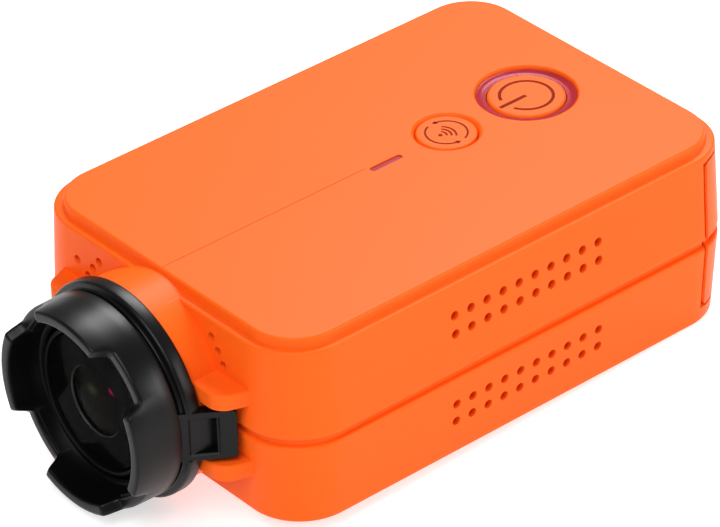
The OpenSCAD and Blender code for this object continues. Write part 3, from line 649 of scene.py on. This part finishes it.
lens_cup = turned("lens_cup", [
    (7.3, -34.3), (7.3, -31.0), (7.1, -30.8), (6.0, -30.8), (6.0, -21.8), (5.0, -21.8), (5.0, -34.55),
    (3.7, -34.7), (3.45, -34.72), (3.45, -34.8), (3.57, -34.95),
    (6.6, -34.95), (6.71, -34.91), (6.75, -34.8), (6.75, -34.3)], 128, LENS_AXIS, "Y")
lens_ring = turned("lens_ring", [
    (7.3, -34.3), (7.3, -35.04), (7.27, -35.14), (7.19, -35.2), (7.08, -35.22), (6.98, -35.22), (6.9, -35.19),
    (6.86, -35.1), (6.85, -34.9), (6.85, -34.3)], 128, LENS_AXIS, "Y")
front_glass = turned("front_glass", [
    (6.72, -34.98), (6.8, -35.0), (6.8, -35.06), (6.72, -35.16), (6.6, -35.2)],
    128, LENS_AXIS, "Y", closed=False)
second_glass = turned("second_glass", [(4.87, -28.2), (4.95, -28.3), (4.95, -34.2), (4.87, -34.3)]
                      + dome(4.4, -34.473, 24.0), 96, LENS_AXIS, "Y", closed=False)
for piece, slot, node in ((lens_cup, "lens_black", "lens_barrel"), (lens_ring, "lens_black", "lens_bezel"),
                          (front_glass, "lens_glass", "front_element"),
                          (second_glass, "lens_glass", "middle_element")):
    soften_shading(piece, 30)
    place(piece, "camera", slot, node)

# %% [markdown]
# ## Buttons and lamps
# The large button is a flat cap, 0.3 mm below the panel, inside a sunken ring of tinted clear plastic.
# The small one sits in its dish, and a clear bar in the panel shows a lamp. Caps and ring are turned,
# with the rounding of their edges in the profile, because a bevel on a round cap would round its hidden
# flange as well. The bar is a box with round ends on a hidden foot.

# %% Caps, ring and window
def cap_edge(radius, top, round_radius, steps=5):
    return [(radius - round_radius + round_radius * math.cos(k * math.pi / 2 / steps),
             top - round_radius + round_radius * math.sin(k * math.pi / 2 / steps)) for k in range(steps + 1)]


POWER_TOP, MODE_TOP = 19.2, 19.38
power_cap = turned("power_cap", [(1.2, 15.5), (1.2, 16.4), (4.45, 16.4), (4.45, 16.9), (3.77, 16.9)]
                   + cap_edge(3.77, POWER_TOP, 0.28), 96, POWER, "Z", closed=False)
mode_cap = turned("mode_cap", [(1.2, 15.5), (1.2, 16.9), (3.5, 16.9), (3.5, 17.6), (2.93, 17.6)]
                  + cap_edge(2.93, MODE_TOP, 0.2), 80, MODE, "Z", closed=False)
ring_light = turned("ring_light", [
    (3.82, 17.3), (5.5, 17.3), (5.5, 17.88), (4.84, 17.88), (4.84, 19.08), (4.8, 19.14), (4.7, 19.13),
    (4.55, 19.05), (4.35, 18.98), (4.15, 18.95), (3.95, 18.96), (3.85, 18.95), (3.82, 18.88)], 96, POWER, "Z")
window_bar = box("window_bar", (-0.87, -2.8, 17.3), (0.87, 2.0, 17.88))
combine(window_bar, long_bar("window top", 0.35, -2.18, 1.58, 17.5, 19.36), "UNION")
round_edges(window_bar, 0.05, 2)
for piece, body, slot, node in ((power_cap, "power_key", "case_orange", "power_button"),
                                (mode_cap, "mode_key", "case_orange", "mode_button"),
                                (ring_light, "camera", "clear_red", "light_ring"),
                                (window_bar, "camera", "clear_red", "status_window")):
    soften_shading(piece, 30)
    place(piece, body, slot, node)

# %% [markdown]
# ## Printed marks
# The marks on the buttons are pad-printed. A picture could carry them, but a mesh stays sharp from any
# distance. They are flat rings whose unwanted faces are deleted, a small filled circle for the dot, and
# circles of three corners for the arrow tips, all lifted by two hundredths of a millimetre, so that they
# read as ink and not as plates.

# %% Printed marks
INK = 0.02


def lift(mark):
    bpy.ops.object.mode_set(mode="EDIT")
    bpy.ops.mesh.select_mode(type="FACE")
    bpy.ops.mesh.select_all(action="SELECT")
    bpy.ops.mesh.extrude_region_move(TRANSFORM_OT_translate={"value": (0, 0, INK * MM)})
    face_outwards()
    bpy.ops.object.mode_set(mode="OBJECT")
    return mark


def flat_ring(name, centre, radius, width, top, spans, segments=120):
    clear_selection()
    bpy.ops.mesh.primitive_circle_add(vertices=segments, radius=(radius - width / 2) * MM,
                                      location=(centre[0] * MM, centre[1] * MM, top * MM))
    ring = start_piece(name)
    bpy.ops.object.mode_set(mode="EDIT")
    bpy.ops.mesh.select_all(action="SELECT")
    bpy.ops.mesh.extrude_edges_move()
    factor = (radius + width / 2) / (radius - width / 2)
    bpy.ops.transform.resize(value=(factor, factor, 1),
                             center_override=(centre[0] * MM, centre[1] * MM, top * MM))

    def left_out(middle, normal):
        angle = math.degrees(math.atan2(middle.y - centre[1], middle.x - centre[0])) % 360
        return not any((angle - low) % 360 < (high - low) for low, high in spans)

    pick_faces(ring, left_out)
    bpy.ops.mesh.delete(type="FACE")
    return lift(ring)


def flat_patch(name, centre, radius, corners, turn, top):
    clear_selection()
    bpy.ops.mesh.primitive_circle_add(vertices=corners, radius=radius * MM, fill_type="NGON",
                                      location=(centre[0] * MM, centre[1] * MM, top * MM),
                                      rotation=(0, 0, math.radians(turn)))
    return lift(start_piece(name))


def join_marks(name, marks):
    clear_selection()
    for mark in marks:
        mark.select_set(True)
    bpy.context.view_layer.objects.active = marks[0]
    bpy.ops.object.join()
    marks[0].name = name
    marks[0].data.name = name
    return marks[0]


TURN_RADIUS = 2.0
power_ink, mode_ink = POWER_TOP - INK / 4, MODE_TOP - INK / 4
bar = box("bar", (-0.21, 14.15, power_ink), (0.21, 17.42, power_ink + INK))
circle = flat_ring("circle", POWER, 2.55, 0.33, power_ink, [(-70, 250)])
power_mark = join_marks("power_mark", [circle, bar])
mode_marks = [flat_ring("turn", MODE, TURN_RADIUS, 0.2, mode_ink, [(17, 170), (197, 350)])]
for angle in (172, 352):
    turn = math.radians(angle)
    spot = (MODE[0] + TURN_RADIUS * math.cos(turn), MODE[1] + TURN_RADIUS * math.sin(turn))
    mode_marks.append(flat_patch("tip", spot, 0.34, 3, angle, mode_ink))
dot = (0, MODE[1] - 0.75)
mode_marks.append(flat_patch("dot", dot, 0.22, 24, 0, mode_ink))
for radius in (0.6, 1.05, 1.5):
    mode_marks.append(flat_ring("wave", dot, radius, 0.2, mode_ink, [(45, 135)], 72))
mode_mark = join_marks("mode_mark", mode_marks)
place(power_mark, "power_key", "hood_black")
place(mode_mark, "mode_key", "hood_black")

# %% [markdown]
# ## Materials
# Every finish is made from nodes on Object coordinates, so it stays on the piece when a joint moves. A
# shared builder mixes two near colours with a slow noise, varies the roughness, and adds the fine grain
# of the mould as bump. Flat colours would look like a drawing, and pictures of plastic would show seams
# and blur when the view comes close.

# %% Finish builder
def shader_of(material):
    return material.node_tree.nodes["Principled BSDF"]


def new_finish(name):
    material = bpy.data.materials.new(name)
    material.use_nodes = True
    return material, material.node_tree.nodes, material.node_tree.links, shader_of(material)


def grained(name, colour, roughness, metallic=0.0, grain=0.12, depth=0.006, tone=0.06, patch=9.0, gloss=0.06,
            stretch=(1, 1, 1)):
    material, nodes, links, shader = new_finish(name)
    place_of = nodes.new("ShaderNodeTexCoord")
    mapping = nodes.new("ShaderNodeMapping")
    mapping.inputs["Scale"].default_value = stretch
    links.new(place_of.outputs["Object"], mapping.inputs["Vector"])
    slow = nodes.new("ShaderNodeTexNoise")
    fine = nodes.new("ShaderNodeTexNoise")
    slow.inputs["Scale"].default_value = 1000 / patch
    slow.inputs["Detail"].default_value = 3
    fine.inputs["Scale"].default_value = 1000 / grain
    fine.inputs["Detail"].default_value = 2
    for noise in (slow, fine):
        links.new(mapping.outputs["Vector"], noise.inputs["Vector"])
    mix = nodes.new("ShaderNodeMix")
    mix.data_type = "RGBA"
    mix.inputs["A"].default_value = [c * (1 - tone) for c in colour] + [1]
    mix.inputs["B"].default_value = [min(c * (1 + tone), 1) for c in colour] + [1]
    links.new(slow.outputs["Fac"], mix.inputs["Factor"])
    links.new(mix.outputs["Result"], shader.inputs["Base Color"])
    spread = nodes.new("ShaderNodeMapRange")
    spread.inputs["To Min"].default_value = max(roughness - gloss, 0.02)
    spread.inputs["To Max"].default_value = roughness + gloss
    links.new(fine.outputs["Fac"], spread.inputs["Value"])
    links.new(spread.outputs["Result"], shader.inputs["Roughness"])
    bump = nodes.new("ShaderNodeBump")
    bump.inputs["Strength"].default_value = 0.6
    bump.inputs["Distance"].default_value = depth * MM
    links.new(fine.outputs["Fac"], bump.inputs["Height"])
    links.new(bump.outputs["Normal"], shader.inputs["Normal"])
    shader.inputs["Metallic"].default_value = metallic
    return material


orange = grained("orange plastic", (0.95, 0.12, 0.008), 0.38, grain=0.10, depth=0.003, tone=0.02, patch=14)
print("orange plastic uses", len(orange.node_tree.nodes), "nodes")

# %% [markdown]
# ## Orange, black and ink
# The case is satin orange plastic, the hood black and the print brown. The inside of the hood is more
# matt than its outside, and the chamfer round the lens opening is glossier and painted lighter, a
# painted highlight: both are a second material slot on faces picked by their distance from the lens
# axis. A mask in the nodes could do the same, but the gloss would then be a link, not a plain number.

# %% Orange, black and ink
def paint(piece, material):
    piece.data.materials.clear()
    piece.data.materials.append(material)


def paint_ring(piece, material, inner, outer):
    piece.data.materials.append(material)
    for face in piece.data.polygons:
        across = math.hypot(face.center.x, face.center.z - SEAM_Z * MM) / MM
        if inner < across < outer:
            face.material_index = len(piece.data.materials) - 1


satin = {"grain": 0.09, "depth": 0.003, "tone": 0.15, "gloss": 0.04}
hood_black = grained("black plastic", (0.002, 0.002, 0.002), 0.34, **satin)
lens_black = grained("black anodised", (0.003, 0.003, 0.003), 0.45, grain=0.07, depth=0.004, tone=0.15)
lens_face = grained("polished black", (0.002, 0.002, 0.002), 0.1, grain=0.2, depth=0.0005, tone=0.15,
                    gloss=0.03)
hood_inside = grained("matt black", (0.002, 0.002, 0.002), 0.34, **satin)
# the chamfer round the lens opening: its higher gloss is real, its lighter colour is a painted highlight
edge_with_painted_highlight = grained("black edge with painted highlight", (0.028, 0.028, 0.025), 0.4, grain=0.07, depth=0.002, tone=0.15)
ink = grained("brown ink", (0.22, 0.022, 0.006), 0.6, grain=0.05, depth=0.002, tone=0.12)
for material, level in ((orange, 0.09), (hood_black, 0.21), (hood_inside, 0.07), (lens_black, 0.06),
                        (lens_face, 0.011), (edge_with_painted_highlight, 0.3), (ink, 0.03)):
    shader_of(material).inputs["Specular IOR Level"].default_value = level
for piece in (case_upper, case_lower, rear_cap, power_cap, mode_cap):
    paint(piece, orange)
paint(hood, hood_black)
paint_ring(hood, hood_inside, 0, 9)
paint(lens_cup, lens_face)
# the chamfer of the lens opening gets the painted highlight
paint_ring(lens_cup, edge_with_painted_highlight, 3.46, 3.56)
paint(lens_ring, lens_black)
for piece in (power_mark, mode_mark):
    paint(piece, ink)
print("second finishes on", hood.name, "and", lens_cup.name)

# %% [markdown]
# ## Clear plastic and glass
# The ring and the bar look dark red, because light is coloured on its way through the plastic. Real
# transmission would show the dark room below them, so a tinted surface with a soft gloss stands in for
# it. The front glass is coated and hardly mirrors at all: it gets a low alpha, no specular level and a
# faint smear in its roughness.

# %% Clear plastic and glass
clear_red = grained("tinted clear plastic", (0.35, 0.02, 0.028), 0.22, grain=0.3, depth=0.002, tone=0.2,
                    patch=2.5)
shader = shader_of(clear_red)
shader.inputs["Specular IOR Level"].default_value = 0.12
shader.inputs["Specular Tint"].default_value = (0.6, 0.65, 1.0, 1)
for piece in (ring_light, window_bar):
    paint(piece, clear_red)

glass, nodes, links, shader = new_finish("coated glass")
place_of = nodes.new("ShaderNodeTexCoord")
smear = nodes.new("ShaderNodeTexNoise")
smear.inputs["Scale"].default_value = 350
links.new(place_of.outputs["Object"], smear.inputs["Vector"])
spread = nodes.new("ShaderNodeMapRange")
spread.inputs["To Min"].default_value = 0.0
spread.inputs["To Max"].default_value = 0.012
links.new(smear.outputs["Fac"], spread.inputs["Value"])
links.new(spread.outputs["Result"], shader.inputs["Roughness"])
shader.inputs["Base Color"].default_value = (0.004, 0.004, 0.0035, 1)
shader.inputs["Specular IOR Level"].default_value = 0.0
shader.inputs["Alpha"].default_value = 0.1
paint(front_glass, glass)
print("clear finishes", clear_red.name, "and", glass.name)

# %% [markdown]
# ## Inner glass
# The inner glass shows a small purple glint and a faint green one, both painted reflections. On the
# real lens they are the mirror image of a lamp in its coated glass, which the broad soft light of this
# scene can't give. So two soft spots of painted reflection are mixed into the colour of the glass, each
# round a point given in Object coordinates and stretched a little sideways, and they stay in place from every
# side.

# %% Inner glass with two painted glints
GLINT_SPREAD = 0.7
DARK_GLASS = (0.005, 0.005, 0.004, 1)
# the purple and green glints are painted reflections: a colour, a size and a place in millimetres each
purple_glint = ((0.4, 0.01, 0.1, 1), 0.55, 2.33, 11.11)
green_glint = ((0.03, 0.035, 0.012, 1), 0.9, -0.47, 10.04)


def away_from_glint(material, size, x, z):
    nodes, links = material.node_tree.nodes, material.node_tree.links
    place_of = nodes.new("ShaderNodeTexCoord")
    from_glint = nodes.new("ShaderNodeMapping")
    from_glint.inputs["Location"].default_value = (-GLINT_SPREAD * x * MM, 0, -z * MM)
    from_glint.inputs["Scale"].default_value = (GLINT_SPREAD, 0, 1)
    links.new(place_of.outputs["Object"], from_glint.inputs["Vector"])
    distance = nodes.new("ShaderNodeVectorMath")
    distance.operation = "LENGTH"
    links.new(from_glint.outputs["Vector"], distance.inputs[0])
    spread = nodes.new("ShaderNodeMapRange")
    spread.interpolation_type = "SMOOTHERSTEP"
    spread.inputs["From Max"].default_value = size * MM
    links.new(distance.outputs["Value"], spread.inputs["Value"])
    return spread


glass_with_painted_glints, nodes, links, shader = new_finish("coated dark glass with painted glints")
below = shader.inputs["Base Color"]
# each glint is a painted reflection, mixed into the base colour of the glass
for tint, size, x, z in (purple_glint, green_glint):
    glow = nodes.new("ShaderNodeMix")
    glow.data_type = "RGBA"
    glow.inputs["A"].default_value = tint
    glow.inputs["B"].default_value = DARK_GLASS
    links.new(away_from_glint(glass_with_painted_glints, size, x, z).outputs["Result"], glow.inputs["Factor"])
    links.new(glow.outputs["Result"], below)
    below = glow.inputs["B"]
shader.inputs["Roughness"].default_value = 0.12
shader.inputs["Specular IOR Level"].default_value = 0.01
shader.inputs["Specular Tint"].default_value = (1.0, 0.6, 0.75, 1)
paint(second_glass, glass_with_painted_glints)
print("two glints on", second_glass.name)

# %% [markdown]
# ## Pieces inside
# Behind the door and through the vents, metal, moulded parts, films and boards show. Their CAD shapes are
# right, so they stay, and each material slot of the record gets one finish. The numbers after a colour
# are its roughness, its share of metal, the size and depth of its grain in millimetres, and its change of
# tone.

# %% Finishes of the inner pieces
inner_finishes = {
    "steel": grained("plain steel", (0.62, 0.62, 0.64), 0.3, 1.0, 0.2, 0.003, 0.08),
    "screw_black": grained("blackened steel", (0.05, 0.05, 0.055), 0.4, 0.8, 0.15, 0.004, 0.2),
    "chip_black": grained("moulded package", (0.03, 0.03, 0.034), 0.55, 0.0, 0.08, 0.008, 0.2),
    "tin_can": grained("tinned sheet", (0.72, 0.72, 0.7), 0.28, 1.0, 0.25, 0.004, 0.07),
    "flex_amber": grained("amber film", (0.75, 0.35, 0.05), 0.3, 0.0, 0.3, 0.003, 0.12),
    "ivory": grained("ivory moulding", (0.85, 0.8, 0.68), 0.45, 0.0, 0.12, 0.005, 0.05),
    "spreader": grained("bare sheet", (0.78, 0.79, 0.8), 0.3, 1.0, 0.1, 0.004, 0.06, stretch=(1, 12, 1)),
    "pad_grey": grained("soft pad", (0.45, 0.47, 0.5), 0.8, 0.0, 0.2, 0.02, 0.1),
    "boot_rubber": grained("black rubber", (0.03, 0.03, 0.03), 0.7, 0.0, 0.1, 0.01, 0.2),
    "frame_grey": grained("grey moulding", (0.22, 0.23, 0.24), 0.5, 0.0, 0.1, 0.006, 0.08),
    "battery_wrap": grained("shrink film", (0.12, 0.13, 0.16), 0.25, 0.0, 0.8, 0.01, 0.1),
    "pull_ribbon": grained("ribbon", (0.85, 0.7, 0.1), 0.4, 0.0, 0.15, 0.006, 0.08),
    "contact_gold": grained("gold plating", (0.85, 0.62, 0.2), 0.2, 1.0, 0.2, 0.003, 0.05),
    "wire_red": grained("wire jacket", (0.6, 0.05, 0.04), 0.4, 0.0, 0.1, 0.004, 0.08),
    "lamp_white": grained("lamp package", (0.9, 0.9, 0.85), 0.3, 0.0, 0.2, 0.003, 0.05),
    "lens_black": lens_black,
    "lens_glass": glass,
}
print("inner finishes", len(inner_finishes))

# %% [markdown]
# ## Green board
# A circuit board is glass fibre under a green mask, and its copper tracks show through it as paler lines.
# A brick texture gives such straight lines at right angles, with no picture and no mesh for each track.

# %% Green board with copper tracks
board = grained("solder mask", (0.03, 0.22, 0.09), 0.35, grain=0.3, depth=0.004, tone=0.12)
nodes, links = board.node_tree.nodes, board.node_tree.links
shader = shader_of(board)
place_of = nodes["Texture Coordinate"]
tracks = nodes.new("ShaderNodeTexBrick")
tracks.inputs["Scale"].default_value = 260
tracks.inputs["Mortar Size"].default_value = 0.035
tracks.inputs["Color1"].default_value = (0.03, 0.2, 0.08, 1)
tracks.inputs["Color2"].default_value = (0.035, 0.24, 0.1, 1)
tracks.inputs["Mortar"].default_value = (0.07, 0.36, 0.15, 1)
links.new(place_of.outputs["Object"], tracks.inputs["Vector"])
links.new(tracks.outputs["Color"], shader.inputs["Base Color"])
inner_finishes["board_green"] = board
for row in frame["record"]["subparts"]:
    piece = frame["nodes"][row["node"]]
    if row["material_slot"] in inner_finishes and not piece.hide_render:
        paint(piece, inner_finishes[row["material_slot"]])
print("finishes", len(bpy.data.materials))

# %% [markdown]
# ## Floor
# The picture has a plain white ground. The camera rests on the rear edge of its base and on the hood, so
# the floor slopes by about one and a half degrees in the case's own frame. White paper would need so much
# light that the object is washed out, so the floor glows by itself, like a light table.

# %% Floor
HOOD_DROP, REST_SPAN, FLOOR_Z = 1.63, 58.8, -0.77
clear_selection()
slope = math.atan2(HOOD_DROP, REST_SPAN)
bpy.ops.mesh.primitive_plane_add(size=4, location=(0, 0, FLOOR_Z * MM), rotation=(slope, 0, 0))
floor = bpy.context.object
floor.name = "floor"
paper = grained("white light table", (0.6, 0.6, 0.6), 0.8, grain=0.4, depth=0.01, tone=0.01, patch=60)
shader = shader_of(paper)
shader.inputs["Emission Color"].default_value = (1, 1, 1, 1)
shader.inputs["Emission Strength"].default_value = 0.62
paint(floor, paper)
print("floor slopes by", round(math.degrees(slope), 2), "degrees")

# %% [markdown]
# ## Light
# Three large soft lamps stand above behind, at the right, and above in front, and an even white world
# fills the rest. Large lamps give the broad pale sheen that satin plastic has on top. Small ones would
# give hard spots and hard shadows.

# %% Light
LIT_SPOT = Vector((0, 0, 0.01))


def soft_light(name, spot, width, power):
    clear_selection()
    bpy.ops.object.light_add(type="AREA", location=spot)
    lamp = bpy.context.object
    lamp.name = name
    lamp.data.shape = "RECTANGLE"
    lamp.data.size = width
    lamp.data.size_y = width
    lamp.data.energy = power
    lamp.rotation_euler = (Vector(spot) - LIT_SPOT).to_track_quat("Z", "Y").to_euler()
    print(name, "with", power, "W")


soft_light("back light", (-0.287, 0.371, 0.53), 0.28, 4.1)
soft_light("side light", (0.53, 0.37, 0.27), 0.24, 2.05)
soft_light("fill light", (0.2, -0.42, 0.62), 0.5, 4.0)
world = bpy.data.worlds.new("white room")
world.use_nodes = True
room = world.node_tree.nodes["Background"]
room.inputs["Color"].default_value = (1, 1, 1, 1)
room.inputs["Strength"].default_value = 0.26
bpy.context.scene.world = world
bpy.context.scene.view_settings.view_transform = "Standard"
bpy.context.scene.view_settings.look = "None"
